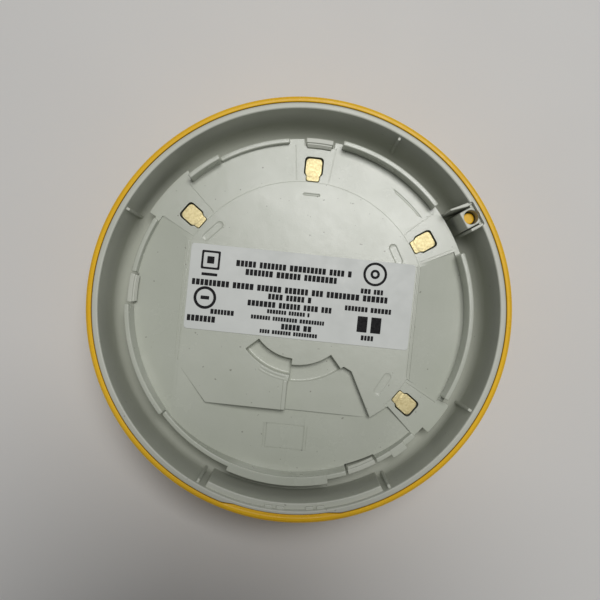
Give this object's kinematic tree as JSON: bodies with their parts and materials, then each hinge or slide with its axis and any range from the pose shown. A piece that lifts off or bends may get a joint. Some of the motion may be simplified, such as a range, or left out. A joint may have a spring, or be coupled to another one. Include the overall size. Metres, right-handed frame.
{
  "type": "heat detector",
  "caption": "Round plug-in ceiling heat detector for a fire alarm loop, mounting side up, with rating label, flat contacts and its lift-off translucent dust cover.",
  "frame": {"origin": "centre of the dust cover's flat underside, on the detector's axis", "axes": "+Z along the detector's axis, out of its mounting side; +X along the rating label, +Y towards the label's upper edge"},
  "size_m": [0.1126, 0.1126, 0.045],
  "materials": {
    "cover_plastic": "satin moulded white-grey",
    "chassis_plastic": "smooth moulded grey-white",
    "label_film": "matt coated label film with black print",
    "contact_metal": "pale gold plated, lightly marked",
    "board_laminate": "green solder mask",
    "black_resin": "moulded epoxy",
    "tinned_wire": "bright tinned",
    "led_lens": "red diffused",
    "clear_lens": "clear moulded",
    "can_aluminium": "bright can",
    "capacitor_ceramic": "matt fired",
    "amber_plastic": "translucent amber-yellow, semi-gloss"
  },
  "bodies": {
    "dust_cover": {"dust_cover": "amber_plastic"},
    "detector": {"front_cover": "cover_plastic", "rear_chassis": "chassis_plastic", "rating_label": "label_film", "contact_plate_1": "contact_metal", "contact_plate_2": "contact_metal", "contact_plate_3": "contact_metal", "contact_plate_4": "contact_metal", "circuit_board": "board_laminate", "thermistor_bead": "black_resin", "thermistor_lead_1": "tinned_wire", "thermistor_lead_2": "tinned_wire", "thermistor_support": "cover_plastic", "indicator_led": "led_lens", "light_guide": "clear_lens", "control_ic": "black_resin", "bridge_rectifier": "black_resin", "surge_suppressor": "black_resin", "latch_thyristor": "black_resin", "electrolytic_capacitor": "can_aluminium", "ceramic_capacitor_1": "capacitor_ceramic", "ceramic_capacitor_2": "capacitor_ceramic", "resistor_1": "black_resin", "resistor_2": "black_resin", "resistor_3": "black_resin", "resistor_4": "black_resin"}
  },
  "joints": [
    {"name": "cover_lift", "type": "slide", "parent": "dust_cover", "child": "detector", "axis": [0, 0, 1], "range_m": [0, 0.05]}
  ]
}
